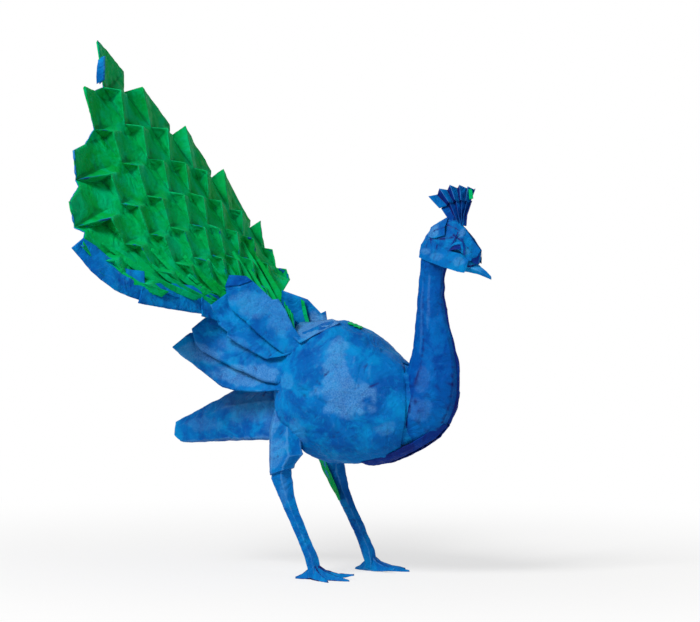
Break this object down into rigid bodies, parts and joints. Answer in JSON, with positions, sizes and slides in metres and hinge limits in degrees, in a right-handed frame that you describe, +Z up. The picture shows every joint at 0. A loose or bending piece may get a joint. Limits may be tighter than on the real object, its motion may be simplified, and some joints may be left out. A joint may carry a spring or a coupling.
{
  "type": "origami peacock",
  "caption": "Standing peacock folded from one two-colour sheet, with a raised pleated train, wings, fan crest and cut toes.",
  "frame": {"origin": "on the floor, under the middle of the bird's outline seen from above", "axes": "+X the way the bird faces, +Y to its left, +Z up; the soles lie on Z = 0"},
  "size_m": [0.1804, 0.1466, 0.212],
  "materials": {
    "blue_paper": "matt, slightly mottled handmade tissue paper with a soft dry sheen, saturated blue",
    "green_paper": "the other face of the same sheet, matt saturated green with bluish lights"
  },
  "bodies": {
    "root": {"peacock": "blue_paper"}
  },
  "joints": []
}
